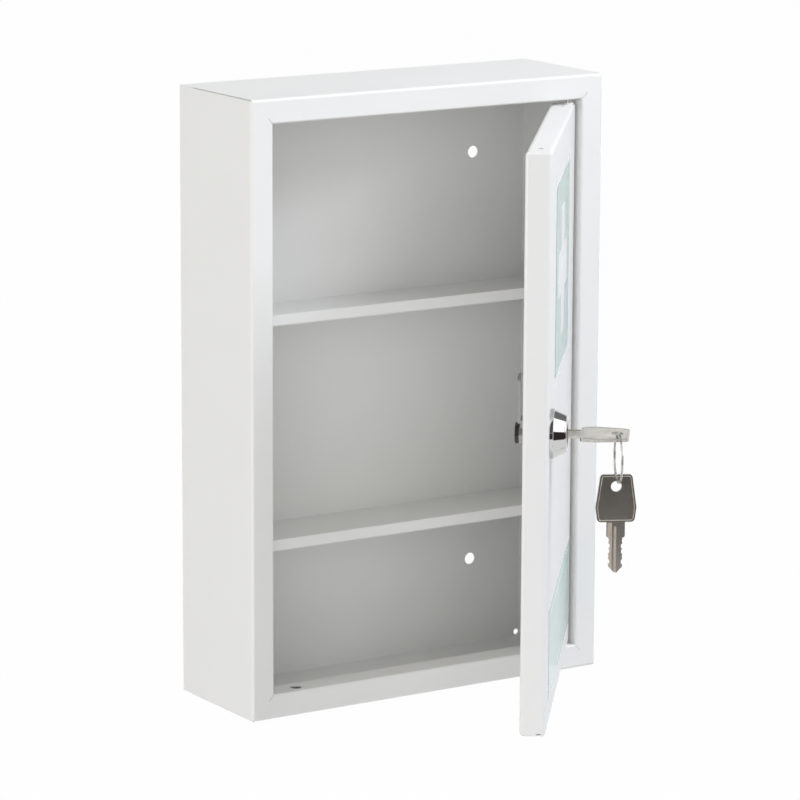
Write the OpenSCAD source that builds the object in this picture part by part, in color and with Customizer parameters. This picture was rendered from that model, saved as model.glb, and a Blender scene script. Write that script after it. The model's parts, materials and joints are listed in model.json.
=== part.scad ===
// Wall-mounted medicine cabinet in folded sheet steel: a shallow case with two
// shelves, and an inset door on pin hinges with a cam lock, a key and a spare.
// X runs across the front, Y into the wall and Z up, in millimetres. The origin
// is the centre of the four wall holes, on the back face of the case.

/* [Case] */
// Width of the case
case_w = 300; // [260:5:400]
// Height of the case
case_h = 450; // [420:5:600]
// Depth of the case, from the wall to its front
case_d = 102; // [90:1:160]
// Thickness of the sheet steel
sheet = 1; // [0.8:0.1:1.2]
// Outer radius of the bends along the case's front and back edges
case_bend = 2; // [1.5:0.5:4]
// Width of the frame around the door opening
frame_w = 18; // [15:1:25]
// Depth of the frame's return, folded back into the case
return_d = 20; // [16:1:24]
// Height of the hem turned from the return's rear edge, along the top and bottom
return_hem = 7; // [4:1:9]
// Distance between the wall holes, across the case
wall_hole_dx = 206; // [150:1:230]
// Distance between the wall holes, up the case
wall_hole_dz = 315; // [250:1:380]
// Diameter of each wall hole
wall_hole_dia = 9; // [5:0.5:12]

/* [Shelves] */
// Height of each shelf's underside above the middle of the case
shelf_levels = [-107.5, 57.5];
// Distance from the case's front to the shelves' front edge
shelf_setback = 22; // [21:1:40]
// Height of the lip that stands up along a shelf's front edge
shelf_lip = 8.5; // [5:0.5:15]
// Height of the flanges that turn down at a shelf's sides and back
shelf_flange = 12; // [8:1:20]

/* [Door] */
// Thickness of the door, from its face to the back of its flanges
door_t = 18; // [16:0.5:18]
// Gap between the door and the frame at each side
side_gap = 2.5; // [2.5:0.5:4]
// Gap between the door and the frame at the top
top_gap = 3.5; // [2.5:0.5:5]
// Gap between the door and the frame at the bottom
bottom_gap = 1.5; // [1.5:0.5:3]
// Outer radius of the door's bends
door_bend = 3; // [1.5:0.5:3]
// Width of the lip folded inwards around the back of the door
door_lip = 8; // [6:1:10]
// How far the door stands open
open_angle = 51.6; // [0:0.1:110]

/* [Hinges] */
// Distance of the hinge axis from the edge of the opening
hinge_inset = 9.2; // [9:0.1:11]
// Distance of the hinge axis from the case's front
hinge_setback = 4.5; // [4.3:0.1:5.5]
// Diameter of the hinge pins
pin_dia = 4; // [3:0.5:4]

/* [Lock] */
// Distance of the lock's axis from the door's free edge
lock_inset = 24.5; // [22:0.5:40]
// Height of the lock's axis above the middle of the case
lock_height = 5; // [-20:1:20]
// Diameter of the rosette's rim
rosette_dia = 35; // [32:1:40]
// How far the rosette stands out from the door
rosette_t = 11.5; // [9:0.5:14]
// Diameter of the lock barrel
barrel_dia = 16; // [16:0.5:19]
// Length of the cam, from the lock's axis to its tip
cam_len = 42; // [34:1:43]
// How far the key has been turned away from its open stop
key_turn = 6; // [0:1:84]

/* [Keys] */
// Thickness of a key
key_t = 2.4; // [2:0.1:2.6]
// Greatest width of a key's bow
bow_w = 28.4; // [26:0.2:30]
// Length of a key's bow
bow_len = 33.6; // [30:0.2:36]
// Mean radius of the key ring
ring_r = 17.5; // [17.5:0.5:18.5]
// Diameter of the key ring's wire
ring_wire = 1.7; // [1.4:0.1:1.8]

/* [Hidden] */
$fn = 48;
ROUND = 96;

// Colours
paint = "#eeeeec";
steel = "#b9babb";
dark_steel = "#6d6c68";
chrome = "#d8d9da";
nylon = "#f1f0ea";
rubber_grey = "#8b8d8c";
label_green = "#8fc3b3";

// Case
opening_w = case_w - 2 * frame_w;
opening_h = case_h - 2 * frame_w;
front_y = -case_d;
return_bend = 1.5;
corner_r = 1.2;
hem_clear = 4;
lots = 2 * case_h;
eps = 0.01;

// Door, as it stands when shut
door_w = opening_w - 2 * side_gap;
door_h = opening_h - top_gap - bottom_gap;
door_mid_z = (bottom_gap - top_gap) / 2;
door_top = opening_h / 2 - top_gap;
door_bottom = bottom_gap - opening_h / 2;
door_corner_r = 1.4;
hinge_x = opening_w / 2 - hinge_inset;
hinge_y = front_y + hinge_setback;

// Holes left for hanging the sheets in the paint line
case_drain_dia = 8.6;
case_drain_inset = 24;
case_drain_setback = 9.7;
door_drain_dia = 5;
door_drain_inset = 20;
relief_dia = 4.4;
relief_inset = 3.5;

// Hinges
pin_reach = 6;
pin_head_r = 3.4;
pin_head_t = 1.5;
bush_wall = 0.85;
bush_flange_r = 3.5;
fit_gap = 0.05;

// Lock, along its axis from the door's face, outwards positive
lock_x = side_gap + lock_inset - opening_w / 2;
rim_t = 2.8;
plug_r = 6;
flat_half = 7;
barrel_end = -18.6;
barrel_head_r = 10;
barrel_head_t = 1.4;
plug_face = rosette_t - 2;
washer_t = 0.8;
nut_t = 4;
nut_af = 22;
cam_t = 2;
cam_face = barrel_end - 0.2;
cam_crank = 1.7;
tail_half = 3;
cam_washer_t = 0.8;
screw_head_t = 3;
screw_af = 13;
screw_len = 4.6;

// Keys, along their length from the shoulder where the blade begins
neck_len = 10.9;
neck_w = 12.8;
blade_len = 25;
blade_w = 9.6;
bow_top_w = 22.6;
bow_foot_w = 26.6;
key_hole_r = 3.75;
key_hole_y = neck_len + bow_len - 8.4;
shoulder = plug_face + 0.2;
slot_gap = 0.15;
wafer_steps = [-2.5, -6.2, -9.9, -13.6, -17.3];
wafer_t = 0.8;
bitting = [0.3, 1, 0.8, 0.2, 0.9];

// Key ring: its centre lies beside the key's hole, below it and nearer the lock
ring_yaw = 11.6;
ring_side = 10.8;
ring_drop = 13.7;
ring_back = 0.6;
hang_gap = 0.25;
spare_side = 1.3;

// ---------------------------------------------------------------- helpers

// A rectangle about the origin with round corners
module round_rect(w, h, r) {
  square([w - 2 * r, h], center = true);
  square([w, h - 2 * r], center = true);
  for (x = [-1, 1], y = [-1, 1])
    translate([x * (w / 2 - r), y * (h / 2 - r)]) circle(r);
}

// A block with bent edges: its back lies at y = 0 and its front at y = -d
module folded_block(w, d, h, bend, corner) {
  intersection() {
    translate([0, -d / 2, -h / 2]) linear_extrude(h) round_rect(w, d, bend);
    translate([-w / 2, -d / 2, 0]) rotate([90, 0, 90])
      linear_extrude(w) round_rect(d, h, bend);
    rotate([90, 0, 0]) linear_extrude(d) round_rect(w, h, corner);
  }
}

// The same block hollowed to the thickness of the sheet
module folded_shell(w, d, h, bend, corner) {
  difference() {
    folded_block(w, d, h, bend, corner);
    translate([0, -sheet, 0])
      folded_block(w - 2 * sheet, d - 2 * sheet, h - 2 * sheet, bend - sheet, 0.2);
  }
}

// Across an opening: straight sides that round outwards at the front
module flare(w, depth, bend) {
  translate([-w / 2, -1]) square([w, depth + 1]);
  difference() {
    translate([-w / 2 - bend, -1]) square([w + 2 * bend, bend + 1]);
    for (side = [-1, 1]) translate([side * (w / 2 + bend), bend]) circle(bend);
  }
}

// The door opening, cut from the front through the frame and its return
module opening_cut() {
  depth = return_d + 1;
  intersection() {
    translate([0, front_y, -lots / 2]) linear_extrude(lots)
      flare(opening_w, depth, return_bend);
    translate([-lots / 2, front_y, 0]) rotate([90, 0, 90]) linear_extrude(lots)
      rotate(-90) mirror([1, 0]) flare(opening_h, depth, return_bend);
  }
}

// Everything on the door, turned about the hinge to where the door stands
module on_door() {
  translate([hinge_x, hinge_y, 0]) rotate([0, 0, open_angle])
    translate([-hinge_x, -hinge_y, 0]) children();
}

// On the lock's axis: X across the door, Y up and Z out of the door's face
module on_lock() {
  on_door() translate([lock_x, front_y, lock_height]) rotate([90, 0, 0]) children();
}

// What turns with the key
module on_plug() {
  on_lock() rotate([0, 0, key_turn]) children();
}

// The key ring's plane, with its origin in the inserted key's hole
module on_ring() {
  on_lock() translate([0, 0, shoulder + key_hole_y - ring_back])
    rotate([0, ring_yaw, 0]) children();
}

// ------------------------------------------------------------------- case

// The whole case as one folded sheet, before it is parted into its walls
module case_shell() {
  difference() {
    union() {
      folded_shell(case_w, case_d, case_h, case_bend, corner_r);
      translate([-opening_w / 2 - sheet, front_y, -opening_h / 2 - sheet])
        cube([opening_w + 2 * sheet, return_d, opening_h + 2 * sheet]);
      for (z = [opening_h / 2, -opening_h / 2 - return_hem])
        translate([hem_clear - opening_w / 2, front_y + return_d - sheet, z])
          cube([opening_w - 2 * hem_clear, sheet, return_hem]);
    }
    opening_cut();
  }
}

// The wedge of space that belongs to the back wall, mitred at its edges
module back_wedge() {
  depth = 20;
  intersection() {
    translate([0, 0, -lots / 2]) linear_extrude(lots) trapezium(case_w, depth);
    translate([-lots / 2, 0, 0]) rotate([90, 0, 90]) linear_extrude(lots)
      rotate(-90) mirror([1, 0]) trapezium(case_h, depth);
  }
}

// A trapezium that narrows at 45 degrees from y = 0 towards y = -depth
module trapezium(w, depth) {
  polygon([[-w / 2 - 1, 1], [w / 2 + 1, 1],
           [w / 2 - depth, -depth], [-w / 2 + depth, -depth]]);
}

// One wall with its front lip and return; side 0 is the left, counted clockwise
module case_wall(side) {
  across = side % 2 == 0 ? case_h : case_w;
  out = side % 2 == 0 ? case_w / 2 : case_h / 2;
  reach = frame_w + 10;
  difference() {
    intersection() {
      case_shell();
      rotate([90, 90 * side, 0]) translate([0, 0, -1]) linear_extrude(case_d + 2)
        polygon([[-out - 1, -across / 2 - 1], [-out - 1, across / 2 + 1],
                 [reach - out, across / 2 - reach], [reach - out, reach - across / 2]]);
    }
    back_wedge();
    corner_seams();
  }
}

// Narrow open seams where the folded walls meet: one along each edge that runs
// from the wall to the front, and a short slit at each corner of the frame
module corner_seams() {
  gap = 0.8;
  gap_depth = 1.8;
  gap_start = 19;
  slit = 0.55;
  slit_len = 6;
  slit_depth = 0.8;
  for (x = [-1, 1], z = [-1, 1]) {
    translate([x * case_w / 2, (front_y - gap_start) / 2, z * case_h / 2])
      rotate([0, x * z > 0 ? -45 : 45, 0])
        cube([2 * gap_depth, case_d - gap_start - 1, gap], center = true);
    translate([x * opening_w / 2, front_y, z * opening_h / 2])
      rotate([0, x * z > 0 ? -45 : 45, 0])
        cube([2 * slit_len, 2 * slit_depth, slit], center = true);
  }
}

module case_left() {
  color(paint) case_wall(0);
}

module case_right() {
  color(paint) case_wall(2);
}

module case_top() {
  color(paint) difference() {
    case_wall(1);
    hinge_pin_hole();
    case_drains();
  }
}

module case_bottom() {
  color(paint) difference() {
    case_wall(3);
    hinge_pin_hole();
    case_drains();
  }
}

// The pins' holes through both returns, on the hinge axis
module hinge_pin_hole() {
  translate([hinge_x, hinge_y, -opening_h / 2 - 2 * sheet])
    cylinder(h = opening_h + 4 * sheet, r = pin_dia / 2 + fit_gap);
}

module case_drains() {
  for (x = [-1, 1])
    translate([x * (opening_w / 2 - case_drain_inset), front_y + case_drain_setback,
               -opening_h / 2 - 2 * sheet])
      cylinder(h = opening_h + 4 * sheet, d = case_drain_dia);
}

module case_back() {
  color(paint) difference() {
    intersection() {
      case_shell();
      back_wedge();
    }
    for (x = [-1, 1], z = [-1, 1]) {
      translate([x * wall_hole_dx / 2, 1, z * wall_hole_dz / 2])
        rotate([90, 0, 0]) cylinder(h = sheet + 2, d = wall_hole_dia);
      translate([x * (case_w / 2 - relief_inset), 1, z * (case_h / 2 - relief_inset)])
        rotate([90, 0, 0]) cylinder(h = sheet + 2, d = relief_dia);
    }
  }
}

// ---------------------------------------------------------------- shelves

// A folded shelf: lip up at the front, flanges down at the sides and the back,
// its two rear corners notched clear of the case's bends
module shelf(level) {
  w = case_w - 2 * sheet;
  back = -sheet;
  front = front_y + shelf_setback;
  d = back - front;
  bend = 1.5;
  lip_end = 12;
  notch = 2.5;
  translate([0, 0, level]) difference() {
    union() {
      translate([-w / 2, front, 0]) cube([w, d, sheet]);
      translate([-w / 2, front, 0]) cube([w, sheet, shelf_lip]);
      translate([-w / 2, back - sheet, -shelf_flange]) cube([w, sheet, shelf_flange + sheet]);
      for (x = [-w / 2, w / 2 - sheet])
        translate([x, front + lip_end, -shelf_flange])
          cube([sheet, d - lip_end, shelf_flange + sheet]);
    }
    for (x = [-w / 2, w / 2])
      translate([x - notch, back - notch, -shelf_flange - 1])
        cube([2 * notch, 2 * notch, shelf_flange + sheet + 2]);
    // the round of the front bend
    translate([-w / 2 - 1, front - 1, -1]) rotate([90, 0, 90])
      linear_extrude(w + 2) difference() {
        square([1 + bend, 1 + bend]);
        translate([1 + bend, 1 + bend]) circle(bend);
      }
  }
}

module upper_shelf() {
  color(paint) shelf(shelf_levels[1]);
}

module lower_shelf() {
  color(paint) shelf(shelf_levels[0]);
}

// --------------------------------------------------- stops behind the door

stop_levels = [-150, 150];
stop_w = 10;
stop_h = 16;
stop_leg = 13;
buffer_r = 3.5;
buffer_t = return_d - door_t - 0.2;
stop_front = front_y + return_d;

// Two angles welded to the left return, where the shut door comes to rest
module door_stops() {
  wall_x = -opening_w / 2 - 2 * sheet;
  color(paint) for (level = stop_levels) translate([wall_x, 0, level - stop_h / 2]) {
    translate([0, stop_front, 0]) cube([2 * sheet + stop_w, sheet, stop_h]);
    translate([0, stop_front + sheet - stop_leg, 0]) cube([sheet, stop_leg, stop_h]);
  }
}

// Round buffers on the angles
module stop_buffers() {
  color(rubber_grey) for (level = stop_levels)
    translate([stop_w / 2 + 1 - opening_w / 2, stop_front, level])
      rotate([90, 0, 0]) cylinder(h = buffer_t, r = buffer_r);
}

// ----------------------------------------------------------------- hinges

// A headed pin pointing down, with the underside of its head at z = 0
module headed_pin(len) {
  cylinder(h = pin_head_t, r = pin_head_r);
  translate([0, 0, -len + 0.5]) cylinder(h = len - 0.5 + eps, d = pin_dia);
  translate([0, 0, -len]) cylinder(h = 0.5, r1 = pin_dia / 2 - 0.5, r2 = pin_dia / 2);
}

module upper_hinge_pin() {
  color(steel) translate([hinge_x, hinge_y, opening_h / 2 + sheet])
    headed_pin(sheet + top_gap + pin_reach);
}

module lower_hinge_pin() {
  color(steel) translate([hinge_x, hinge_y, -opening_h / 2 - sheet])
    mirror([0, 0, 1]) headed_pin(sheet + bottom_gap + pin_reach);
}

// A flanged bush in the door's edge, its flange on top
module hinge_bush(flange_t) {
  translate([0, 0, -pin_reach - 1]) difference() {
    union() {
      cylinder(h = pin_reach + 1, r = pin_dia / 2 + fit_gap + bush_wall);
      translate([0, 0, pin_reach + 1]) cylinder(h = flange_t, r = bush_flange_r);
    }
    translate([0, 0, 0.8])
      cylinder(h = pin_reach + 3 + flange_t, r = pin_dia / 2 + fit_gap);
  }
}

module upper_hinge_bush() {
  color(nylon) on_door() translate([hinge_x, hinge_y, door_top]) hinge_bush(1);
}

module lower_hinge_bush() {
  color(nylon) on_door() translate([hinge_x, hinge_y, door_bottom])
    mirror([0, 0, 1]) hinge_bush(bottom_gap - 0.2);
}

// ------------------------------------------------------------------- door

bush_hole_r = pin_dia / 2 + fit_gap + bush_wall + 0.03;

module door_pan() {
  color(paint) on_door() difference() {
    translate([0, front_y + door_t, door_mid_z])
      folded_shell(door_w, door_t, door_h, door_bend, door_corner_r);
    // the window in the back, between the folded lips
    translate([door_lip + sheet - door_w / 2, front_y + door_t - 2 * sheet,
               door_bottom + door_lip + sheet])
      cube([door_w - 2 * (door_lip + sheet), 3 * sheet, door_h - 2 * (door_lip + sheet)]);
    // the bushes' holes
    translate([hinge_x, hinge_y, door_bottom - 1]) cylinder(h = door_h + 2, r = bush_hole_r);
    // hanging holes in the top and bottom edges
    for (x = [-1, 1])
      translate([x * (door_w / 2 - door_drain_inset), front_y + door_t / 2, door_bottom - 1])
        cylinder(h = door_h + 2, d = door_drain_dia);
    // the lock's hole, with flats that keep the barrel from turning
    translate([lock_x, front_y, lock_height]) rotate([90, 0, 0])
      translate([0, 0, -2 * sheet]) linear_extrude(3 * sheet) barrel_outline(0.1);
    door_seams();
  }
}

// Thin lines where the door's edges meet at its corners, and a small notch at
// each of the lower corners
module door_seams() {
  for (x = [-1, 1], z = [door_bottom, door_top])
    translate([x * (door_w / 2 - 1.5), front_y + door_t / 2 + 1, z])
      cube([0.4, door_t - 3, 0.9], center = true);
  for (x = [-1, 1])
    translate([x * door_w / 2, front_y + door_bend + 1.5, door_bottom])
      cube([5, 3.4, 4.4], center = true);
}

// ----------------------------------------------------------------- labels

label_t = 0.3;
cross_size = 134;
cross_x = -0.5;
cross_z = 103;
cross_arm = 92;
cross_bar = 31;
lower_label_w = 220;
lower_label_h = 64;
lower_label_x = 8;
lower_label_z = -155;

module plus(arm, bar) {
  square([arm, bar], center = true);
  square([bar, arm], center = true);
}

// The square sign on the door's face, open where its cross shows
module cross_label() {
  color(label_green) on_door() translate([cross_x, front_y, cross_z]) rotate([90, 0, 0])
    linear_extrude(label_t) difference() {
      round_rect(cross_size, cross_size, 3);
      plus(cross_arm, cross_bar);
    }
}

module label_cross() {
  color("white") on_door() translate([cross_x, front_y, cross_z]) rotate([90, 0, 0])
    linear_extrude(label_t) plus(cross_arm, cross_bar);
}

// A bare strip below the lock
module lower_label() {
  color(label_green) on_door() translate([lower_label_x, front_y, lower_label_z])
    rotate([90, 0, 0]) linear_extrude(label_t) round_rect(lower_label_w, lower_label_h, 3);
}

// ------------------------------------------------------------------- lock

// The barrel's section: a circle with two flats
module barrel_outline(gap) {
  intersection() {
    circle(barrel_dia / 2 + gap, $fn = ROUND);
    square([2 * barrel_dia, 2 * (flat_half + gap)], center = true);
  }
}

// A chromed cone with a flat rim, bored for the barrel
module lock_rosette() {
  cone_base = rosette_dia / 2 - 0.7;
  cone_top = rosette_dia / 2 - 4;
  edge = 1.2;
  color(chrome) on_lock() difference() {
    rotate_extrude($fn = ROUND) {
      polygon([[0, 0], [rosette_dia / 2, 0], [rosette_dia / 2, rim_t - 0.3],
               [rosette_dia / 2 - 0.3, rim_t], [cone_base, rim_t],
               [cone_top, rosette_t - edge], [cone_top - edge, rosette_t - edge],
               [0, rosette_t - edge]]);
      translate([0, rosette_t - edge - eps]) square([cone_top - edge, edge + eps]);
      translate([cone_top - edge, rosette_t - edge]) circle(edge);
    }
    translate([0, 0, -1]) cylinder(h = 30, d = barrel_dia + 0.1, $fn = ROUND);
    translate([0, 0, rosette_t - barrel_head_t])
      cylinder(h = 10, r = barrel_head_r + 0.1, $fn = ROUND);
  }
}

module lock_barrel() {
  color(steel) on_lock() difference() {
    union() {
      translate([0, 0, rosette_t - barrel_head_t])
        cylinder(h = barrel_head_t - 0.1, r = barrel_head_r, $fn = ROUND);
      translate([0, 0, 0.5]) cylinder(h = rosette_t - 1, d = barrel_dia, $fn = ROUND);
      translate([0, 0, barrel_end]) linear_extrude(0.5 - barrel_end) barrel_outline(0);
    }
    translate([0, 0, barrel_end - 1])
      cylinder(h = 2 * barrel_dia + 20, r = plug_r + fit_gap, $fn = ROUND);
    // the key's neck turns in a sinking in front of the plug
    translate([0, 0, plug_face]) cylinder(h = 10, r = neck_w / 2 + 0.5, $fn = ROUND);
  }
}

// A lock washer behind the door's skin
module lock_washer() {
  teeth = 16;
  color(steel) on_lock() translate([0, 0, -sheet - washer_t]) linear_extrude(washer_t)
    difference() {
      union() {
        circle(10.5, $fn = ROUND);
        for (i = [0 : teeth - 1]) rotate(i * 360 / teeth) translate([10.5, 0])
          square([2, 1.6], center = true);
      }
      circle(barrel_dia / 2 + 0.1, $fn = ROUND);
    }
}

module lock_nut() {
  color(steel) on_lock() translate([0, 0, -sheet - washer_t - nut_t]) difference() {
    cylinder(h = nut_t, d = nut_af / cos(30), $fn = 6);
    translate([0, 0, -1]) cylinder(h = nut_t + 2, d = barrel_dia + 0.1, $fn = ROUND);
  }
}

// The turning core: keyway, wafer slots, spring pockets and a square tail
module lock_plug() {
  color(steel) on_plug() difference() {
    union() {
      translate([0, 0, barrel_end]) cylinder(h = plug_face - barrel_end, r = plug_r, $fn = ROUND);
      translate([-tail_half, -tail_half, cam_face - cam_t])
        cube([2 * tail_half, 2 * tail_half, cam_t + 1]);
    }
    // the keyway, from the face to just past the blade's tip
    translate([-blade_w / 2 - slot_gap, -key_t / 2 - slot_gap, shoulder - blade_len - 1])
      cube([blade_w + 2 * slot_gap, key_t + 2 * slot_gap, blade_len + 5]);
    for (z = wafer_steps) translate([0, 0, shoulder + z]) {
      cube([4 * plug_r, 6.9, wafer_t + 0.15], center = true);
      translate([0, 4.2, 0]) cube([4.2, 1.6, 1.4], center = true);
    }
    // the cam screw's thread
    translate([0, 0, cam_face - cam_t - 1]) cylinder(h = screw_len + 0.4, r = 1.55);
  }
}

// Flat tumblers, each with a window that the blade passes through
module lock_wafers() {
  color("goldenrod") on_plug() for (z = wafer_steps)
    translate([0, 0, shoulder + z - wafer_t / 2]) linear_extrude(wafer_t) difference() {
      intersection() {
        circle(plug_r - 0.15, $fn = ROUND);
        square([4 * plug_r, 6.7], center = true);
      }
      square([blade_w + 0.5, key_t + 0.5], center = true);
    }
}

module wafer_springs() {
  color(steel) on_plug() for (z = wafer_steps)
    translate([-1.9, 4.2, shoulder + z]) rotate([0, 90, 0]) difference() {
      cylinder(h = 3.8, r = 0.6);
      translate([0, 0, -1]) cylinder(h = 6, r = 0.35);
    }
}

// The cam: a boss on the plug's tail and an arm cranked away from the door
module lock_cam() {
  arm_w = 12;
  crank_at = 10.5;
  back = cam_face - cam_t;
  color(steel) on_plug() difference() {
    union() {
      translate([0, 0, back]) cylinder(h = cam_t, r = 8, $fn = ROUND);
      translate([-arm_w / 2, 0, back]) cube([arm_w, crank_at, cam_t]);
      translate([-arm_w / 2, crank_at - cam_t, back - cam_crank])
        cube([arm_w, cam_t, cam_t + cam_crank]);
      translate([-arm_w / 2, crank_at - cam_t, back - cam_crank])
        cube([arm_w, cam_len - crank_at + cam_t - 3, cam_t]);
      translate([3 - arm_w / 2, cam_len - 3, back - cam_crank])
        cylinder(h = cam_t, r = 3);
      translate([arm_w / 2 - 3, cam_len - 3, back - cam_crank])
        cylinder(h = cam_t, r = 3);
      translate([3 - arm_w / 2, cam_len - 6, back - cam_crank])
        cube([arm_w - 6, 6, cam_t]);
    }
    translate([-tail_half - fit_gap, -tail_half - fit_gap, back - 5])
      cube([2 * (tail_half + fit_gap), 2 * (tail_half + fit_gap), 10]);
  }
}

module cam_washer() {
  color(steel) on_plug() translate([0, 0, cam_face - cam_t - cam_washer_t]) difference() {
    cylinder(h = cam_washer_t, r = 7.8);
    translate([0, 0, -1]) cylinder(h = 3, r = 1.6);
  }
}

// A hexagon screw into the plug's tail, its corners rounded off at the end
module cam_screw() {
  head_front = cam_face - cam_t - cam_washer_t;
  corner_r = screw_af / 2 / cos(30);
  chamfer = 0.7;
  color(dark_steel) on_plug() {
    translate([0, 0, head_front - screw_head_t]) intersection() {
      cylinder(h = screw_head_t, r = corner_r, $fn = 6);
      union() {
        cylinder(h = chamfer, r1 = corner_r - chamfer, r2 = corner_r);
        translate([0, 0, chamfer]) cylinder(h = screw_head_t, r = corner_r);
      }
    }
    translate([0, 0, head_front - eps]) cylinder(h = screw_len + eps, r = 1.5);
  }
}

// ------------------------------------------------------------------- keys

// The outline of a key's bow, drawn in from its edge by an inset
module bow_outline(inset) {
  top = neck_len + bow_len;
  head_r = 2.6;
  side_r = 2;
  foot_r = 3;
  widest = 23.3;
  hull() for (x = [-1, 1]) {
    translate([x * (bow_top_w / 2 - head_r), top - head_r]) circle(head_r - inset, $fn = 32);
    translate([x * (bow_w / 2 - side_r), top - widest]) circle(side_r - inset, $fn = 32);
    translate([x * (bow_foot_w / 2 - foot_r), neck_len + foot_r])
      circle(foot_r - inset, $fn = 32);
  }
}

// The outline of a key's neck and blade, downwards from inside the bow
module blade_outline() {
  tip = 4.4;
  tip_half = 0.8;
  step = 1.2;
  half = [[neck_w / 2, neck_len + 2], [neck_w / 2, step], [neck_w / 2 - step / 2, 0],
          [blade_w / 2, 0], [blade_w / 2, tip - blade_len], [tip_half, -blade_len]];
  difference() {
    polygon(concat(half, [for (i = [len(half) - 1 : -1 : 0]) [-half[i][0], half[i][1]]]));
    for (i = [0 : len(wafer_steps) - 1], side = [0, 1])
      mirror([side, 0]) translate([blade_w / 2, wafer_steps[i]]) blade_cut(bitting[i]);
  }
}

// A flat-bottomed cut into the blade's edge
module blade_cut(depth) {
  flat = 1;
  polygon([[-depth, flat], [1, flat + depth + 1], [1, -flat - depth - 1], [-depth, -flat]]);
}

// A key lying in XY: blade down from the shoulder at y = 0, bow upwards
module key_solid() {
  groove = 0.5;
  groove_w = 1.5;
  groove_x = -0.5;
  groove_end = 7.2;
  border = 1.1;
  border_w = 0.5;
  border_depth = 0.2;
  land_x = -neck_w / 2 + 0.6;
  land_w = 3;
  land_depth = 0.35;
  difference() {
    union() {
      linear_extrude(key_t, center = true) bow_outline(0);
      linear_extrude(key_t, center = true) blade_outline();
    }
    // the hole for the ring
    translate([0, key_hole_y, -key_t]) cylinder(h = 2 * key_t, r = key_hole_r);
    for (side = [0, 1]) mirror([side, 0, 0]) mirror([0, 0, side]) {
      // a groove along the blade, round at its upper end
      translate([groove_x - groove_w / 2, -blade_len - 1, key_t / 2 - groove])
        cube([groove_w, blade_len + groove_end + 1, 2]);
      translate([groove_x, groove_end, key_t / 2 - groove]) cylinder(h = 2, d = groove_w);
      // a milled land beside it, as long as the neck and the blade
      translate([land_x, -blade_len - 1, key_t / 2 - land_depth])
        cube([land_w, blade_len + neck_len + 0.6, 2]);
      // a line pressed into the bow, parallel to its edge
      translate([0, 0, key_t / 2 - border_depth]) linear_extrude(2) difference() {
        bow_outline(border);
        bow_outline(border + border_w);
      }
    }
  }
}

module key() {
  color(steel) on_plug() translate([0, 0, shoulder]) rotate([90, 0, 0]) key_solid();
}

module key_ring() {
  color(steel) on_ring() translate([-ring_side, -ring_drop, 0])
    rotate_extrude($fn = ROUND) translate([ring_r, 0]) circle(d = ring_wire);
}

// The spare hangs a little to one side on the wire, in the hole's upper edge
module spare_key() {
  reach = key_hole_r - ring_wire / 2 - hang_gap;
  hole_y = -ring_drop - ring_r - sqrt(reach ^ 2 - spare_side ^ 2);
  color(dark_steel) on_ring() translate([-ring_side, hole_y - key_hole_y, -spare_side])
    rotate([0, 90, 0]) key_solid();
}

// -------------------------------------------------------------- the pieces

case_back();
case_left();
case_right();
case_top();
case_bottom();
upper_shelf();
lower_shelf();
door_stops();
stop_buffers();
upper_hinge_pin();
lower_hinge_pin();
door_pan();
upper_hinge_bush();
lower_hinge_bush();
cross_label();
label_cross();
lower_label();
lock_rosette();
lock_barrel();
lock_washer();
lock_nut();
lock_plug();
lock_wafers();
wafer_springs();
lock_cam();
cam_washer();
cam_screw();
key();
key_ring();
spare_key();
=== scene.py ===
import json
import math

import bpy
from mathutils import Matrix, Vector


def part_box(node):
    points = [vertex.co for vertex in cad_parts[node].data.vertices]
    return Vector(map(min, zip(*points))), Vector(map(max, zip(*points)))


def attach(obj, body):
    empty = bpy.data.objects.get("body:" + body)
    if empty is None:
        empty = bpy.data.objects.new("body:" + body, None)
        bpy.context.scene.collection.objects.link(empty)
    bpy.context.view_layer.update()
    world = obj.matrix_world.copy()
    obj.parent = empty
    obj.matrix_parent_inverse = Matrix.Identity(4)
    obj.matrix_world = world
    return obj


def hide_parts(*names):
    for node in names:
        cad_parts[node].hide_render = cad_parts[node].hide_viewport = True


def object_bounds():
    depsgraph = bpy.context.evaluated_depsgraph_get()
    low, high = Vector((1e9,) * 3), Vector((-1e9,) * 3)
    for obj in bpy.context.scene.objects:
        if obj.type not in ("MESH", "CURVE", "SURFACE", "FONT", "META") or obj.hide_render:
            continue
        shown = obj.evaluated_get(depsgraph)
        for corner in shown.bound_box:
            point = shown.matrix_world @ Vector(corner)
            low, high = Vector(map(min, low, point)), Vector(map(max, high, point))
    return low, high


bl_info = {
    "name": "Medicine Cabinet Finishes",
    "version": (1, 0, 0),
    "blender": (4, 5, 0),
    "location": "View3D > Sidebar > Cabinet",
    "description": "Paint, plating, keys, ring and labels of a lockable wall cabinet",
    "category": "Object",
}

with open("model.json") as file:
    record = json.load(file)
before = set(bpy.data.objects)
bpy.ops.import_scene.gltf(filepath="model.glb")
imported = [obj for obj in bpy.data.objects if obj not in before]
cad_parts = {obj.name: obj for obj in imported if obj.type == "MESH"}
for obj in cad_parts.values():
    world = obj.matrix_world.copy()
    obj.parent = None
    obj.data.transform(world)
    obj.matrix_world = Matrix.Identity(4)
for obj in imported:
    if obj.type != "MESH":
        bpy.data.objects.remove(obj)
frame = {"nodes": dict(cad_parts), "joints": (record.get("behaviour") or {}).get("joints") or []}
CAD_BOX = [list(corner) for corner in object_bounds()]

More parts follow.
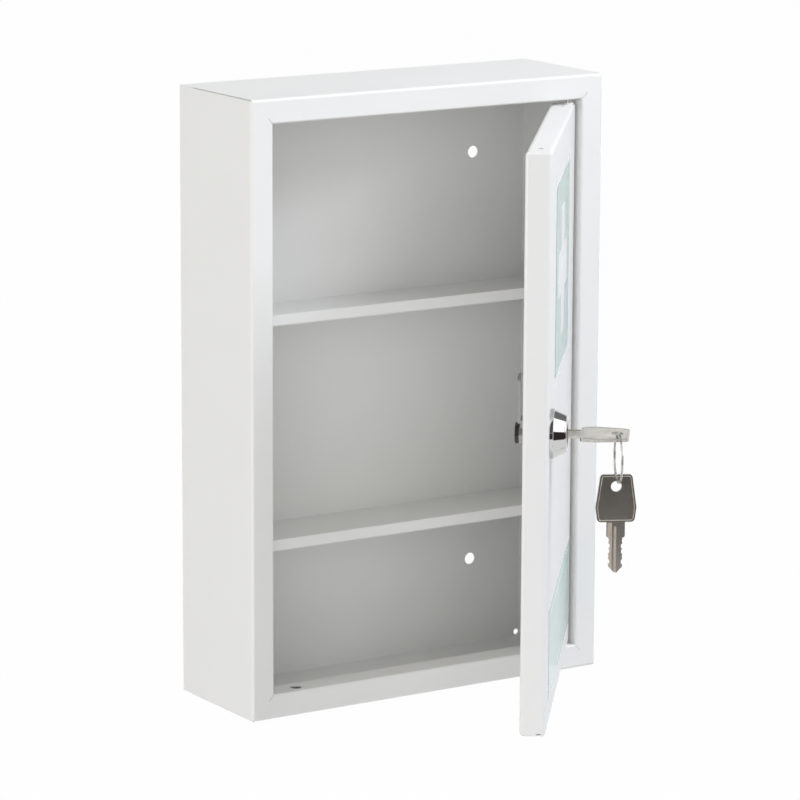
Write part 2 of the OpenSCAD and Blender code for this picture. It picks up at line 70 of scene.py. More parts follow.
MM = 0.001
UP = Vector((0, 0, 1))
JOINTS = {joint["name"]: joint for joint in frame["joints"]}
LOCK_AT = Vector(JOINTS["lock_turn"]["pos_m"])
OUTWARD = Vector(JOINTS["lock_turn"]["axis"]).normalized()
ALONG_DOOR = UP.cross(OUTWARD)
RING_BOTTOM = Vector(JOINTS["spare_key_swing"]["pos_m"])
ALONG_RING = Vector(JOINTS["spare_key_swing"]["axis"]).normalized()
RING_WIDTH = 1.7 * MM
RING_RADIUS = (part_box("key_ring")[1][2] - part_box("key_ring")[0][2] - RING_WIDTH) / 2

# labels: the levels of a label's back and front, and the gap between the sign and its margin
BACK, FRONT = 0, 1
SIGN_GAP = 0.1 * MM

# keys: corners this close are one, and faces that differ by less than this are one flat
WELD = 0.002 * MM
SAME_FLAT = math.radians(1)
# keys: the edges that are rounded turn by more than this, and those shaded smooth by less
ROUNDED_OVER = math.radians(35)
KEY_SMOOTH = math.radians(32)
# keys: a milled groove is at least this deep, and its floor faces as the key's sides do
GROOVE_DEPTH = 0.1 * MM
FACES_ALIKE = 0.99

# ring: sides of the wire's section, where its ends lie, and its smoothing
WIRE_SIDES = 10
WIRE_ENDS_AT = math.radians(18)
WIRE_SMOOTH = math.radians(50)

# each lamp's place, the width of its disk and its tint
LAMPS = {
    "left": ((-2.3, -0.1, 0.3), 1.4, "#fffdf9"),
    "near": ((0.9, -0.9, 1.6), 0.8, "#f3f6ff"),
    "right": ((1.2, -1.6, 1.5), 1.0, "#f3f6ff"),
    "front": ((-1.5, -2.6, 0.5), 2.4, "#ffffff"),
    "top": ((-0.2, -0.4, 2.0), 1.6, "#fffcf6"),
}
LAMPS_AIM = Vector((0, -0.08, 0))

# each card, a glowing sheet that only glossy rays see and so a painted reflection, dark or bright:
# its colour, its brightness, its place, its size and its slope in degrees
CARDS = {
    "front_card": ("#3a3230", 1.0, (-0.4, -1.25, -0.035), (2.4, 0.63), 90),
    "bright_card": ("#ffffff", 1.8, (0.425, -0.908, 0.645), (1.35, 0.985), 46),
    "side_card": ("#5a5857", 1.0, (-0.9, -0.908, 0.645), (1.29, 0.985), 46),
    "high_card": ("#838180", 1.0, (0.5, 0.17, 1.0), (2.2, 1.47), 0),
}

# the share of the floor's own glow that the camera sees, and the share that metal sees
FLOOR_GLOW = (0.985, 0.93)
FLOOR_SIZE = 60

CAMERA_AT = Vector((-1.6047, -2.5739, 0.6052))
CAMERA_AIM = Vector((-0.0257, -0.1020, -0.0016))
CAMERA_ROLL = math.radians(0.25)
CAMERA_REACH = 100
SENSOR = 36

# a Mix node's sockets: its factor, its two colours and their mixture, and its two plain numbers
FACTOR, FIRST, SECOND, MIXED = 0, 6, 7, 2
FIRST_NUMBER, SECOND_NUMBER = 2, 3


# ------------------------------------------------------------ small helpers

def linear(code):
    """Turns an sRGB hex colour into the linear numbers that a shader takes."""
    parts = [int(code[i : i + 2], 16) / 255 for i in (1, 3, 5)]
    return tuple(p / 12.92 if p <= 0.04045 else ((p + 0.055) / 1.055) ** 2.4
                 for p in parts) + (1.0,)


def tones(colour, *drops):
    """The darker and the full tone of a linear colour, for a shader.

    The drop is in the 255 levels of an sRGB colour: one for all three parts, or one for each.
    """
    parts = [255 * (p * 12.92 if p <= 0.0031308 else 1.055 * p ** (1 / 2.4) - 0.055)
             for p in colour[:3]]
    dark = [max(0, round(part) - drop) for part, drop in zip(parts, drops * 3)]
    full = [round(part) for part in parts]
    return [linear("#%02x%02x%02x" % tuple(tone)) for tone in (dark, full)]


def colour_property(name, description, code):
    """A colour that a user can change, first given as an sRGB hex colour."""
    return bpy.props.FloatVectorProperty(
        name=name, description=description, default=linear(code)[:3], size=3, min=0, max=1,
        subtype="COLOR")


def per(size_mm):
    """The texture scale at which one period of a pattern measures size_mm."""
    return 1 / (size_mm * MM)


def add(tree, kind, inputs=None, **settings):
    """Adds a node. Settings are its properties; inputs are values or the sockets that feed them."""
    node = tree.nodes.new(kind)
    for name, value in settings.items():
        setattr(node, name, value)
    for name, value in (inputs or {}).items():
        if isinstance(value, bpy.types.NodeSocket):
            tree.links.new(value, node.inputs[name])
        else:
            node.inputs[name].default_value = value
    return node


def blank_tree(owner):
    """Turns on a material's or world's nodes and returns the emptied tree."""
    owner.use_nodes = True
    owner.node_tree.nodes.clear()
    return owner.node_tree


def begin(name):
    """A new material, its tree, and the socket that gives each point's place on the object."""
    material = bpy.data.materials.new(name)
    tree = blank_tree(material)
    return material, tree, add(tree, "ShaderNodeTexCoord").outputs["Object"]


def dress(material, *nodes):
    """Gives CAD nodes a material."""
    for name in nodes:
        mesh = frame["nodes"][name].data
        mesh.materials.clear()
        mesh.materials.append(material)


def only(obj):
    """Leaves one object selected and active."""
    bpy.ops.object.select_all(action="DESELECT")
    obj.select_set(True)
    bpy.context.view_layer.objects.active = obj


def edit_all(obj):
    """Opens a mesh for editing with all of it selected."""
    only(obj)
    bpy.ops.object.mode_set(mode="EDIT")
    bpy.ops.mesh.select_all(action="SELECT")


def close_edit():
    """Turns the faces outwards and leaves edit mode."""
    bpy.ops.mesh.select_all(action="SELECT")
    bpy.ops.mesh.normals_make_consistent(inside=False)
    bpy.ops.object.mode_set(mode="OBJECT")


def settle(obj, name, body, slot, *materials):
    """Finishes a new piece: its place goes into its mesh, and it rides on its body."""
    obj.name = name
    obj.data.name = name
    only(obj)
    bpy.ops.object.transform_apply(location=True, rotation=True, scale=True)
    obj.data.materials.clear()
    for material in materials:
        obj.data.materials.append(material)
    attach(obj, body)


# ---------------------------------------------------------------- materials

def powder_coat(name, thin, thick, roughness):
    # Polyester powder coat, sprayed dry and baked on steel: a continuous pale
    # film, a touch lighter and glossier where it flowed thick, with a fine
    # orange peel.
    material, tree, place = begin(name)
    film = add(tree, "ShaderNodeTexNoise",
               {"Vector": place, "Scale": per(70), "Detail": 3.0}).outputs["Fac"]
    tint = add(tree, "ShaderNodeMix", {FACTOR: film, FIRST: thin, SECOND: thick}, data_type="RGBA")
    gloss = add(tree, "ShaderNodeMapRange",
                {"Value": film, "To Min": roughness + 0.05, "To Max": roughness - 0.04})
    # the real peel is about 1.5 mm across; it is drawn at 3 mm so that it shows
    peel = add(tree, "ShaderNodeTexNoise",
               {"Vector": place, "Scale": per(3), "Detail": 1.5}).outputs["Fac"]
    relief = add(tree, "ShaderNodeBump", {"Height": peel, "Distance": 0.012 * MM})
    skin = add(tree, "ShaderNodeBsdfPrincipled", {
        "Base Color": tint.outputs[MIXED], "Roughness": gloss.outputs[0],
        "Normal": relief.outputs[0], "IOR": 1.5})
    add(tree, "ShaderNodeOutputMaterial", {"Surface": skin.outputs[0]})
    return material


def brushed_nickel(name, dark, light, roughness, grain_along, centre):
    # Nickel plate over brushed brass: fine scratches that run one way, with a
    # duller bloom in soft patches where fingers and the air have reached it.
    material, tree, place = begin(name)
    local = add(tree, "ShaderNodeVectorMath",
                {0: place, 1: centre}, operation="SUBTRACT").outputs[0]
    turn = grain_along.to_track_quat("X", "Z").inverted().to_euler()
    drawn = add(tree, "ShaderNodeMapping", {"Vector": local, "Rotation": turn})
    # each scratch is thirty times as long as it is wide
    drawn = add(tree, "ShaderNodeVectorMath",
                {0: drawn.outputs[0], 1: (1, 30, 30)}, operation="MULTIPLY")
    # real scratches are about 0.1 mm apart; they are drawn at 0.4 mm
    grain = add(tree, "ShaderNodeTexNoise", {
        "Vector": drawn.outputs[0], "Scale": per(12), "Detail": 3.0,
        "Roughness": 0.6}).outputs["Fac"]
    bloom = add(tree, "ShaderNodeTexNoise",
                {"Vector": local, "Scale": per(8), "Detail": 3.0}).outputs["Fac"]
    blend = add(tree, "ShaderNodeMix",
                {FACTOR: 0.5, FIRST_NUMBER: grain, SECOND_NUMBER: bloom},
                data_type="FLOAT").outputs[0]
    shine = add(tree, "ShaderNodeMapRange",
                {"Value": blend, "From Min": 0.35, "From Max": 0.65}).outputs[0]
    tint = add(tree, "ShaderNodeMix", {FACTOR: shine, FIRST: dark, SECOND: light}, data_type="RGBA")
    gloss = add(tree, "ShaderNodeMapRange",
                {"Value": blend, "To Min": roughness + 0.12, "To Max": roughness - 0.08})
    relief = add(tree, "ShaderNodeBump", {"Height": grain, "Distance": 0.004 * MM})
    metal = add(tree, "ShaderNodeBsdfPrincipled", {
        "Base Color": tint.outputs[MIXED], "Roughness": gloss.outputs[0],
        "Normal": relief.outputs[0], "Metallic": 1.0})
    add(tree, "ShaderNodeOutputMaterial", {"Surface": metal.outputs[0]})
    return material


def zinc_plate(name, dark, light, roughness):
    # Zinc plate, dipped and passivated: small crystals that break up the
    # sheen, and cloudy changes of tone.
    material, tree, place = begin(name)
    crystals = add(tree, "ShaderNodeTexVoronoi",
                   {"Vector": place, "Scale": per(1.2)}).outputs["Distance"]
    cloud = add(tree, "ShaderNodeTexNoise",
                {"Vector": place, "Scale": per(6), "Detail": 3.0}).outputs["Fac"]
    tint = add(tree, "ShaderNodeMix",
               {FACTOR: cloud, FIRST: linear(dark), SECOND: linear(light)}, data_type="RGBA")
    gloss = add(tree, "ShaderNodeMapRange",
                {"Value": crystals, "To Min": roughness - 0.06, "To Max": roughness + 0.12})
    relief = add(tree, "ShaderNodeBump", {"Height": cloud, "Distance": 0.01 * MM})
    metal = add(tree, "ShaderNodeBsdfPrincipled", {
        "Base Color": tint.outputs[MIXED], "Roughness": gloss.outputs[0],
        "Normal": relief.outputs[0], "Metallic": 1.0})
    add(tree, "ShaderNodeOutputMaterial", {"Surface": metal.outputs[0]})
    return material


def bright_chrome(name):
    # Decorative chromium on die-cast zinc: a mirror with a trace of polishing
    # haze and the faint ripple of the casting.
    material, tree, place = begin(name)
    haze = add(tree, "ShaderNodeTexNoise",
               {"Vector": place, "Scale": per(5), "Detail": 4.0}).outputs["Fac"]
    tint = add(tree, "ShaderNodeMix",
               {FACTOR: haze, FIRST: linear("#c8c8c6"), SECOND: linear("#d2d2d0")},
               data_type="RGBA")
    gloss = add(tree, "ShaderNodeMapRange", {"Value": haze, "To Min": 0.03, "To Max": 0.09})
    ripple = add(tree, "ShaderNodeTexNoise",
                 {"Vector": place, "Scale": per(6), "Detail": 1.0}).outputs["Fac"]
    relief = add(tree, "ShaderNodeBump", {"Height": ripple, "Distance": 0.01 * MM})
    metal = add(tree, "ShaderNodeBsdfPrincipled", {
        "Base Color": tint.outputs[MIXED], "Roughness": gloss.outputs[0],
        "Normal": relief.outputs[0], "Metallic": 1.0})
    add(tree, "ShaderNodeOutputMaterial", {"Surface": metal.outputs[0]})
    return material


def moulded_nylon(name):
    # Natural polyamide, injection moulded: off-white and slightly translucent,
    # with the soft sheen of a spark-eroded mould.
    material, tree, place = begin(name)
    cloud = add(tree, "ShaderNodeTexNoise", {"Vector": place, "Scale": per(4)}).outputs["Fac"]
    tint = add(tree, "ShaderNodeMix",
               {FACTOR: cloud, FIRST: linear("#e9e6dc"), SECOND: linear("#f3f1ea")},
               data_type="RGBA")
    gloss = add(tree, "ShaderNodeMapRange", {"Value": cloud, "To Min": 0.55, "To Max": 0.4})
    pits = add(tree, "ShaderNodeTexNoise",
               {"Vector": place, "Scale": per(0.6), "Detail": 1.0}).outputs["Fac"]
    relief = add(tree, "ShaderNodeBump", {"Height": pits, "Distance": 0.01 * MM})
    plastic = add(tree, "ShaderNodeBsdfPrincipled", {
        "Base Color": tint.outputs[MIXED], "Roughness": gloss.outputs[0],
        "Normal": relief.outputs[0], "IOR": 1.53, "Subsurface Weight": 0.1,
        "Subsurface Radius": (0.002, 0.0015, 0.001)})
    add(tree, "ShaderNodeOutputMaterial", {"Surface": plastic.outputs[0]})
    return material


def moulded_rubber(name):
    # Moulded EPDM: dull mid grey with a dusty bloom.
    material, tree, place = begin(name)
    bloom = add(tree, "ShaderNodeTexNoise",
                {"Vector": place, "Scale": per(3), "Detail": 4.0}).outputs["Fac"]
    tint = add(tree, "ShaderNodeMix",
               {FACTOR: bloom, FIRST: linear("#5f6262"), SECOND: linear("#838685")},
               data_type="RGBA")
    gloss = add(tree, "ShaderNodeMapRange", {"Value": bloom, "To Min": 0.6, "To Max": 0.8})
    relief = add(tree, "ShaderNodeBump", {"Height": bloom, "Distance": 0.02 * MM})
    rubber = add(tree, "ShaderNodeBsdfPrincipled", {
        "Base Color": tint.outputs[MIXED], "Roughness": gloss.outputs[0],
        "Normal": relief.outputs[0], "IOR": 1.52})
    add(tree, "ShaderNodeOutputMaterial", {"Surface": rubber.outputs[0]})
    return material


def printed_vinyl(name, thin, full):
    # Screen-printed self-adhesive vinyl: flat ink with a very faint mottle
    # under a gloss laminate, which ripples over the paint below it.
    material, tree, place = begin(name)
    mottle = add(tree, "ShaderNodeTexNoise",
                 {"Vector": place, "Scale": per(12), "Detail": 4.0}).outputs["Fac"]
    tint = add(tree, "ShaderNodeMix", {FACTOR: mottle, FIRST: thin, SECOND: full}, data_type="RGBA")
    gloss = add(tree, "ShaderNodeMapRange", {"Value": mottle, "To Min": 0.18, "To Max": 0.27})
    ripple = add(tree, "ShaderNodeTexNoise",
                 {"Vector": place, "Scale": per(4), "Detail": 1.0}).outputs["Fac"]
    relief = add(tree, "ShaderNodeBump", {"Height": ripple, "Distance": 0.01 * MM})
    film = add(tree, "ShaderNodeBsdfPrincipled", {
        "Base Color": tint.outputs[MIXED], "Roughness": gloss.outputs[0],
        "Normal": relief.outputs[0], "IOR": 1.5, "Coat Weight": 0.4, "Coat Roughness": 0.08})
    add(tree, "ShaderNodeOutputMaterial", {"Surface": film.outputs[0]})
    return material


# ------------------------------------------------- sizes, colours and stage

class CabinetSizes(bpy.types.PropertyGroup):
    """Sizes of the pieces that are made here"""

    ring_radius: bpy.props.FloatProperty(
        name="Ring radius", description="Mean radius of the split ring",
        default=RING_RADIUS, unit="LENGTH")
    ring_wire: bpy.props.FloatProperty(
        name="Ring wire", description="Diameter of the split ring's wire",
        default=RING_WIDTH / 2 - 0.01 * MM, unit="LENGTH")
    ring_steps: bpy.props.IntProperty(
        name="Ring steps", description="Steps in each turn of the split ring", default=72)
    ring_crank: bpy.props.FloatProperty(
        name="Ring crank", description="Angle over which the wire crosses to its second turn",
        default=math.radians(30), subtype="ANGLE")
    key_edge: bpy.props.FloatProperty(
        name="Key edge", description="Width of the rounding along a key's edges",
        default=0.16 * MM, unit="LENGTH")
    blade: bpy.props.FloatProperty(
        name="Blade", description="Length of a key's milled blade",
        default=25 * MM, unit="LENGTH")
    margin: bpy.props.FloatProperty(
        name="Margin", description="Width of the white film that shows round the sign",
        default=5 * MM, unit="LENGTH")
    margin_film: bpy.props.FloatProperty(
        name="Margin film", description="Thickness of the white film round the sign",
        default=0.1 * MM, unit="LENGTH")
    border_inset: bpy.props.FloatProperty(
        name="Border inset", description="From the label's edge to its printed border",
        default=4 * MM, unit="LENGTH")
    border_line: bpy.props.FloatProperty(
        name="Border line", description="Width of the label's printed border",
        default=1.2 * MM, unit="LENGTH")
    ink: bpy.props.FloatProperty(
        name="Ink", description="How far the border's ink stands off the label",
        default=0.06 * MM, unit="LENGTH")


class CabinetColours(bpy.types.PropertyGroup):
    """Colours of the paint, the labels and the plating"""

    case_paint: colour_property("Case paint", "The case's satin powder coat", "#f2f2f0")
    door_paint: colour_property("Door paint", "The door's gloss powder coat", "#f3f3f2")
    sign: colour_property("Sign", "The square sign's ground", "#90c0b2")
    cross: colour_property("Cross", "The cross on the sign", "#f5f7f6")
    sign_margin: colour_property("Sign margin", "The film that shows round the sign", "#f4f6f6")
    lower_label: colour_property("Lower label", "The bare lower label's ground", "#badbd2")
    label_border: colour_property("Label border", "The lower label's printed border", "#eaf4f1")
    lock_plate: colour_property("Lock plate", "The nickel on the lock's barrel", "#cccac4")
    key_plate: colour_property("Key plate", "The nickel on the keys' bows", "#d3d0c9")
    key_blade: colour_property("Key blade", "The milled metal of the keys' blades", "#ddd3c6")
    ring_plate: colour_property("Ring plate", "The nickel on the split ring", "#dadad8")


class CabinetStage(bpy.types.PropertyGroup):
    """The floor, the light and the camera"""

    floor_drop: bpy.props.FloatProperty(
        name="Floor drop", description="How far below the case the floor lies",
        default=0.55, unit="LENGTH")
    left_light: bpy.props.FloatProperty(
        name="Left light", description="Power of the lamp beside the case",
        default=17.6, subtype="POWER")
    near_light: bpy.props.FloatProperty(
        name="Near light", description="Power of the small lamp above the door",
        default=10.5, subtype="POWER")
    right_light: bpy.props.FloatProperty(
        name="Right light", description="Power of the high lamp on the right",
        default=20.5, subtype="POWER")
    front_light: bpy.props.FloatProperty(
        name="Front light", description="Power of the wide lamp by the camera",
        default=21.2, subtype="POWER")
    top_light: bpy.props.FloatProperty(
        name="Top light", description="Power of the lamp above the case",
        default=8.2, subtype="POWER")
    sky: bpy.props.FloatProperty(
        name="Sky", description="Strength of the light from all round", default=0.3)
    lens: bpy.props.FloatProperty(
        name="Lens", description="Focal length on a 36 mm sensor", default=186.26)


# -------------------------------------------------------------------- case

class CABINET_OT_paint_case(bpy.types.Operator):
    """Paints the case, its shelves and its door stops, and finishes the pins and buffers"""

    bl_idname = "cabinet.paint_case"
    bl_label = "Paint the case"

    def execute(self, context):
        colours = context.scene.cabinet_colours
        paint = powder_coat("powder_coat_satin_white", *tones(colours.case_paint, 4), 0.48)
        dress(paint, "case_back", "case_left", "case_right", "case_top", "case_bottom",
              "upper_shelf", "lower_shelf", "door_stops")
        dress(zinc_plate("zinc_plated_pin", "#a9aaab", "#c6c6c2", 0.3),
              "upper_hinge_pin", "lower_hinge_pin")
        dress(moulded_rubber("epdm_rubber"), "stop_buffers")
        return {"FINISHED"}


# -------------------------------------------------------------------- door

class CABINET_OT_finish_door(bpy.types.Operator):
    """Paints the door, and finishes its bushes and its labels"""

    bl_idname = "cabinet.finish_door"
    bl_label = "Finish the door"

    def execute(self, context):
        colours = context.scene.cabinet_colours
        dress(powder_coat("powder_coat_gloss_white", *tones(colours.door_paint, 4), 0.32),
              "door_pan")
        dress(moulded_nylon("natural_nylon"), "upper_hinge_bush", "lower_hinge_bush")
        dress(printed_vinyl("green_vinyl", *tones(colours.sign, 6)), "cross_label")
        dress(printed_vinyl("white_vinyl", *tones(colours.cross, 6)), "label_cross")
        dress(printed_vinyl("pale_green_vinyl", *tones(colours.lower_label, 6)), "lower_label")
        return {"FINISHED"}


class CABINET_OT_frame_labels(bpy.types.Operator):
    """Lays a white margin round the sign, and prints a plain border on the bare lower label"""

    bl_idname = "cabinet.frame_labels"
    bl_label = "Frame the labels"

    def execute(self, context):
        sizes = context.scene.cabinet_sizes
        colours = context.scene.cabinet_colours
        film = printed_vinyl("clear_edged_white_vinyl", *tones(colours.sign_margin, 5))
        self.lay_frame("sign_margin", "cross_label", BACK, sizes.margin,
                       sizes.margin - SIGN_GAP, sizes.margin_film, film)
        ink = printed_vinyl("white_ink", *tones(colours.label_border, 8, 5, 6))
        self.lay_frame("label_border", "lower_label", FRONT, -sizes.border_inset,
                       sizes.border_line, sizes.ink, ink)
        return {"FINISHED"}

    def lay_frame(self, name, label, level, reach, line, thickness, material):
        """Lays a frame, as wide as line, on the level of a label's back or front.

        Its outer edge stands off the label's edge by reach, or inside it where reach is below 0.
        """
        corners = [vertex.co for vertex in frame["nodes"][label].data.vertices]
        spans = []
        for axis in (ALONG_DOOR, UP, OUTWARD):
            reached = [corner.dot(axis) for corner in corners]
            spans.append((min(reached), max(reached)))
        across, up, out = spans
        middle = ALONG_DOOR * sum(across) / 2 + UP * sum(up) / 2 + OUTWARD * out[level]
        width, height = (high - low + 2 * reach for low, high in (across, up))
        bpy.ops.mesh.primitive_plane_add(size=1)
        sheet = bpy.context.object
        sheet.matrix_world = Matrix.Translation(middle) @ Matrix(
            (ALONG_DOOR * width, UP * height, OUTWARD)).transposed().to_4x4()
        only(sheet)
        bpy.ops.object.transform_apply(location=True, rotation=True, scale=True)
        edit_all(sheet)
        bpy.ops.mesh.inset(thickness=line, depth=0)
        bpy.ops.mesh.delete(type="FACE")
        bpy.ops.mesh.select_all(action="SELECT")
        bpy.ops.mesh.extrude_region_move(TRANSFORM_OT_translate={"value": OUTWARD * thickness})
        close_edit()
        settle(sheet, name, "door", "label_white", material)


# -------------------------------------------------------------------- lock

class CABINET_OT_finish_lock(bpy.types.Operator):
    """Plates the lock's rosette, barrel, plug, cam and fixings"""

    bl_idname = "cabinet.finish_lock"
    bl_label = "Finish the lock"

    def execute(self, context):
        colours = context.scene.cabinet_colours
        dress(bright_chrome("bright_chrome"), "lock_rosette")
        turned = brushed_nickel(
            "turned_nickel_plate", *tones(colours.lock_plate, 36, 36, 35), 0.26, UP, LOCK_AT)
        dress(turned, "lock_barrel", "lock_plug", "lock_nut")
        dress(zinc_plate("zinc_plate", "#9b9c9d", "#b9b9b4", 0.34),
              "lock_washer", "lock_cam", "cam_washer", "wafer_springs")
        dress(zinc_plate("blackened_zinc", "#3c3a37", "#5e5b56", 0.4), "cam_screw")
        brass = brushed_nickel(
            "cartridge_brass", linear("#b8964f"), linear("#d8ba7a"), 0.3, UP, LOCK_AT)
        dress(brass, "lock_wafers")
        return {"FINISHED"}


# -------------------------------------------------------------------- keys

class CABINET_OT_make_keys(bpy.types.Operator):
    """Gives both keys softened edges, a plated bow and a milled blade"""

    bl_idname = "cabinet.make_keys"
    bl_label = "Make the keys"

    def execute(self, context):
        self.finish_key(context, "key", "inserted_key", OUTWARD, LOCK_AT)
        self.finish_key(context, "spare_key", "hanging_key", UP, RING_BOTTOM)
        return {"FINISHED"}

    def finish_key(self, context, node, body, lengthwise, centre):
        """Rounds a copy of a key's own mesh, shades it and plates it"""
        sizes = context.scene.cabinet_sizes
        colours = context.scene.cabinet_colours
        blank = bpy.data.objects.new(node, frame["nodes"][node].data.copy())
        context.collection.objects.link(blank)
        edit_all(blank)
        bpy.ops.mesh.remove_doubles(threshold=WELD)
        bpy.ops.mesh.dissolve_limited(angle_limit=SAME_FLAT)
        close_edit()
        rounding = blank.modifiers.new("rounding", "BEVEL")
        rounding.width = sizes.key_edge
        rounding.segments = 2
        rounding.limit_method = "ANGLE"
        rounding.angle_limit = ROUNDED_OVER
        rounding.use_clamp_overlap = True
        bpy.ops.object.modifier_apply(modifier="rounding")
        bpy.ops.object.shade_smooth_by_angle(angle=KEY_SMOOTH)
        # the large flats keep their own direction, and only the rounded edges turn
        flats = blank.modifiers.new("flats", "WEIGHTED_NORMAL")
        flats.keep_sharp = True
        bpy.ops.object.modifier_apply(modifier="flats")
        plated = brushed_nickel(
            node + "_nickel_plate", *tones(colours.key_plate, 33, 33, 32), 0.17, lengthwise, centre)
        milled = brushed_nickel(
            node + "_milled_brass", *tones(colours.key_blade, 27, 28, 28), 0.42, lengthwise, centre)
        settle(blank, node + "_softened", body, node + "_nickel", plated, milled)
        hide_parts(node)
        self.mill(blank.data, lengthwise, sizes.blade)

    def mill(self, mesh, lengthwise, blade):
        """Shows milled metal on the blade and on all that is cut below the key's faces"""
        flat = max(mesh.polygons, key=lambda face: face.area).normal.copy()
        depths = [vertex.co.dot(flat) for vertex in mesh.vertices]
        middle = (min(depths) + max(depths)) / 2
        sunk = (max(depths) - min(depths)) / 2 - GROOVE_DEPTH
        tip = min(vertex.co.dot(lengthwise) for vertex in mesh.vertices)
        for face in mesh.polygons:
            alike = abs(face.normal.dot(flat)) > FACES_ALIKE
            grooved = alike and abs(face.center.dot(flat) - middle) < sunk
            if grooved or face.center.dot(lengthwise) < tip + blade:
                face.material_index = 1


class CABINET_OT_wind_ring(bpy.types.Operator):
    """Winds the split key ring: two flat turns of wire with a crank between them"""

    bl_idname = "cabinet.wind_ring"
    bl_label = "Wind the key ring"

    def execute(self, context):
        sizes = context.scene.cabinet_sizes
        colours = context.scene.cabinet_colours
        centre = RING_BOTTOM + UP * sizes.ring_radius
        normal = ALONG_RING.cross(UP).normalized()
        # the wire's two ends lie at the near side, away from both keys
        start = Matrix.Rotation(WIRE_ENDS_AT, 4, normal) @ ALONG_RING
        tangent = normal.cross(start)
        bpy.ops.mesh.primitive_circle_add(
            vertices=WIRE_SIDES, radius=sizes.ring_wire / 2, fill_type="NGON",
            location=centre + start * sizes.ring_radius - normal * sizes.ring_wire / 2,
            rotation=tangent.to_track_quat("Z", "Y").to_euler())
        wire = context.object
        edit_all(wire)
        step = 2 * math.pi / sizes.ring_steps
        # two turns, short of each other by a step at both ends
        total = 2 * sizes.ring_steps - 2
        crank_steps = max(2, round(sizes.ring_crank / step))
        first = (total - crank_steps) // 2
        for i in range(total):
            bpy.ops.mesh.spin(steps=1, angle=step, center=centre, axis=normal)
            if first <= i < first + crank_steps:
                rise = [0.5 - 0.5 * math.cos(math.pi * (i - first + k) / crank_steps)
                        for k in (0, 1)]
                bpy.ops.transform.translate(
                    value=normal * sizes.ring_wire * (rise[1] - rise[0]))
        close_edit()
        bpy.ops.object.shade_smooth_by_angle(angle=WIRE_SMOOTH)
        steel = brushed_nickel(
            "nickel_plated_spring_wire", *tones(colours.ring_plate, 40), 0.16, UP, centre)
        settle(wire, "split_ring", "ring", "ring_steel", steel)
        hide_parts("key_ring")
        return {"FINISHED"}


# ------------------------------------------------------------------- stage

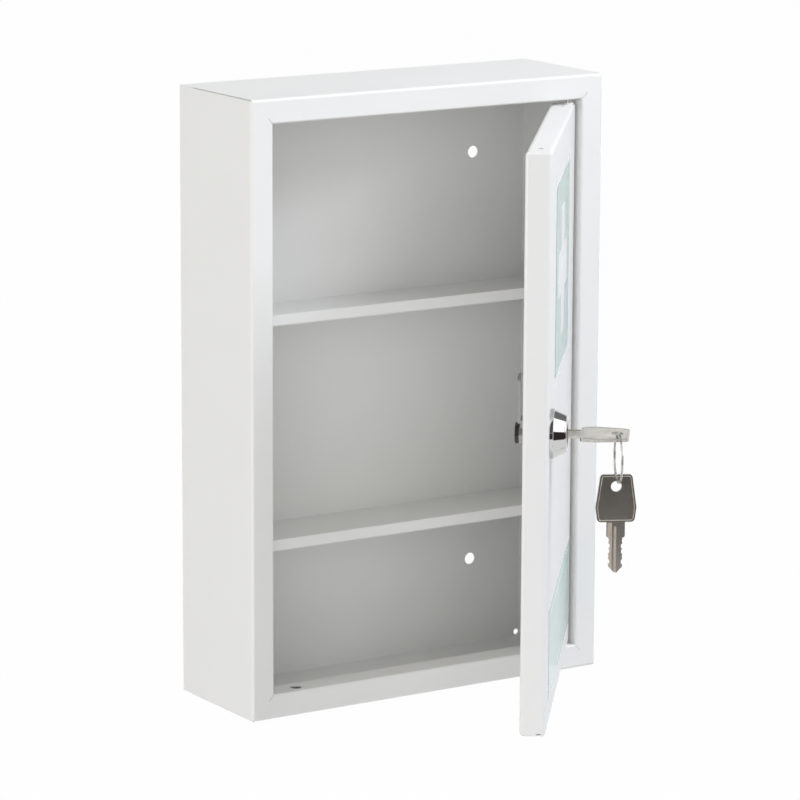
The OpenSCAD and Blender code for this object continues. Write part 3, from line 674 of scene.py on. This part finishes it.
class CABINET_OT_set_stage(bpy.types.Operator):
    """Lays the floor, and places the lamps, the cards, the sky and the camera"""

    bl_idname = "cabinet.set_stage"
    bl_label = "Set the stage"

    def execute(self, context):
        stage = context.scene.cabinet_stage
        self.lay_floor(stage)
        self.fill_sky(context, stage)
        for side, (place, width, tint) in LAMPS.items():
            power = getattr(stage, side + "_light")
            self.hang_lamp(context, side + "_lamp", place, width, tint, power)
        for name, card in CARDS.items():
            self.hold_card(name, *card)
        self.place_camera(context, stage)
        context.scene.view_settings.view_transform = "Standard"
        return {"FINISHED"}

    def lay_floor(self, stage):
        """Lays a floor of matt white card.

        The camera sees it glow to paper white and bright metal less so, and a
        share of its own shading keeps the shadow.
        """
        bpy.ops.mesh.primitive_plane_add(
            size=FLOOR_SIZE, location=(0, 0, CAD_BOX[0][2] - stage.floor_drop))
        floor = bpy.context.object
        floor.name = "floor"
        material = bpy.data.materials.new("white_card")
        tree = blank_tree(material)
        card = add(tree, "ShaderNodeBsdfDiffuse", {"Color": linear("#ececec")})
        glow = add(tree, "ShaderNodeEmission", {"Color": (1, 1, 1, 1), "Strength": 1.0})
        mixed = add(tree, "ShaderNodeMixShader",
                    {0: self.seen(tree, *FLOOR_GLOW), 1: card.outputs[0], 2: glow.outputs[0]})
        add(tree, "ShaderNodeOutputMaterial", {"Surface": mixed.outputs[0]})
        floor.data.materials.append(material)

    def hold_card(self, name, code, brightness, place, size, slope):
        """Holds up a glowing card that only glossy rays see: a painted reflection that gives bright
        metal and paint their dark and their light
        """
        bpy.ops.mesh.primitive_plane_add(
            size=1, location=place, rotation=(math.radians(slope), 0, 0))
        card = bpy.context.object
        card.name = name
        card.scale = (*size, 1)
        card.visible_camera = False
        card.visible_diffuse = False
        card.visible_transmission = False
        card.visible_shadow = False
        # the card glows with a set tone whatever the lamps do: a painted reflection, dark or bright
        material = bpy.data.materials.new(name + "_cloth")
        tree = blank_tree(material)
        tone = add(tree, "ShaderNodeEmission", {"Color": linear(code), "Strength": brightness})
        add(tree, "ShaderNodeOutputMaterial", {"Surface": tone.outputs[0]})
        card.data.materials.append(material)

    def seen(self, tree, straight, mirrored):
        """A share for rays from the camera, one for rays off metal or through glass, and 0
        for the rest"""
        path = add(tree, "ShaderNodeLightPath").outputs
        share = add(tree, "ShaderNodeMath",
                    {0: path["Is Camera Ray"], 1: straight}, operation="MULTIPLY").outputs[0]
        for kind in ("Is Glossy Ray", "Is Transmission Ray"):
            share = add(tree, "ShaderNodeMath", {0: path[kind], 1: mirrored, 2: share},
                        operation="MULTIPLY_ADD").outputs[0]
        return share

    def fill_sky(self, context, stage):
        """Lights the scene softly from all round, and shows as white"""
        world = bpy.data.worlds.new("studio")
        context.scene.world = world
        tree = blank_tree(world)
        soft = add(tree, "ShaderNodeBackground",
                   {"Color": linear("#f7f8fa"), "Strength": stage.sky})
        white = add(tree, "ShaderNodeBackground", {"Color": (1, 1, 1, 1), "Strength": 1.0})
        mixed = add(tree, "ShaderNodeMixShader",
                    {0: self.seen(tree, 1.0, 1.0), 1: soft.outputs[0], 2: white.outputs[0]})
        add(tree, "ShaderNodeOutputWorld", {"Surface": mixed.outputs[0]})

    def hang_lamp(self, context, name, place, width, tint, power):
        """Hangs a round lamp that points at the cabinet"""
        data = bpy.data.lights.new(name, "AREA")
        data.shape = "DISK"
        data.size = width
        data.color = linear(tint)[:3]
        data.energy = power
        lamp = bpy.data.objects.new(name, data)
        context.collection.objects.link(lamp)
        lamp.location = place
        lamp.rotation_euler = (LAMPS_AIM - lamp.location).to_track_quat("-Z", "Y").to_euler()

    def place_camera(self, context, stage):
        """Places the camera and tilts it a little to its side"""
        data = bpy.data.cameras.new("camera")
        data.sensor_width = SENSOR
        data.lens = stage.lens
        data.clip_end = CAMERA_REACH
        camera = bpy.data.objects.new("camera", data)
        context.collection.objects.link(camera)
        back = (CAMERA_AT - CAMERA_AIM).normalized()
        right = (-back).cross(UP).normalized()
        up = back.cross(right)
        x_axis = right * math.cos(CAMERA_ROLL) + up * math.sin(CAMERA_ROLL)
        y_axis = up * math.cos(CAMERA_ROLL) - right * math.sin(CAMERA_ROLL)
        camera.matrix_world = Matrix.Translation(CAMERA_AT) @ Matrix(
            (x_axis, y_axis, back)).transposed().to_4x4()
        context.scene.camera = camera


# ------------------------------------------------------------------ add-on

class CABINET_PT_pieces(bpy.types.Panel):
    """Lists the pieces in the order in which they are made, and then their settings"""

    bl_idname = "CABINET_PT_pieces"
    bl_label = "Medicine cabinet"
    bl_space_type = "VIEW_3D"
    bl_region_type = "UI"
    bl_category = "Cabinet"

    def draw(self, context):
        for operator in OPERATORS:
            self.layout.operator(operator.bl_idname)
        for setting in GROUPS:
            group = getattr(context.scene, setting)
            for name in group.__annotations__:
                self.layout.prop(group, name)


GROUPS = {
    "cabinet_sizes": CabinetSizes,
    "cabinet_colours": CabinetColours,
    "cabinet_stage": CabinetStage,
}
OPERATORS = (
    CABINET_OT_paint_case,
    CABINET_OT_finish_door,
    CABINET_OT_frame_labels,
    CABINET_OT_finish_lock,
    CABINET_OT_make_keys,
    CABINET_OT_wind_ring,
    CABINET_OT_set_stage,
)
CLASSES = (*GROUPS.values(), *OPERATORS, CABINET_PT_pieces)


def register():
    for cls in CLASSES:
        bpy.utils.register_class(cls)
    for setting, group in GROUPS.items():
        setattr(bpy.types.Scene, setting, bpy.props.PointerProperty(type=group))


def unregister():
    for setting in reversed(GROUPS):
        delattr(bpy.types.Scene, setting)
    for cls in reversed(CLASSES):
        bpy.utils.unregister_class(cls)


def main():
    register()
    for operator in OPERATORS:
        group, name = operator.bl_idname.split(".")
        getattr(getattr(bpy.ops, group), name)()


if __name__ == "__main__":
    main()
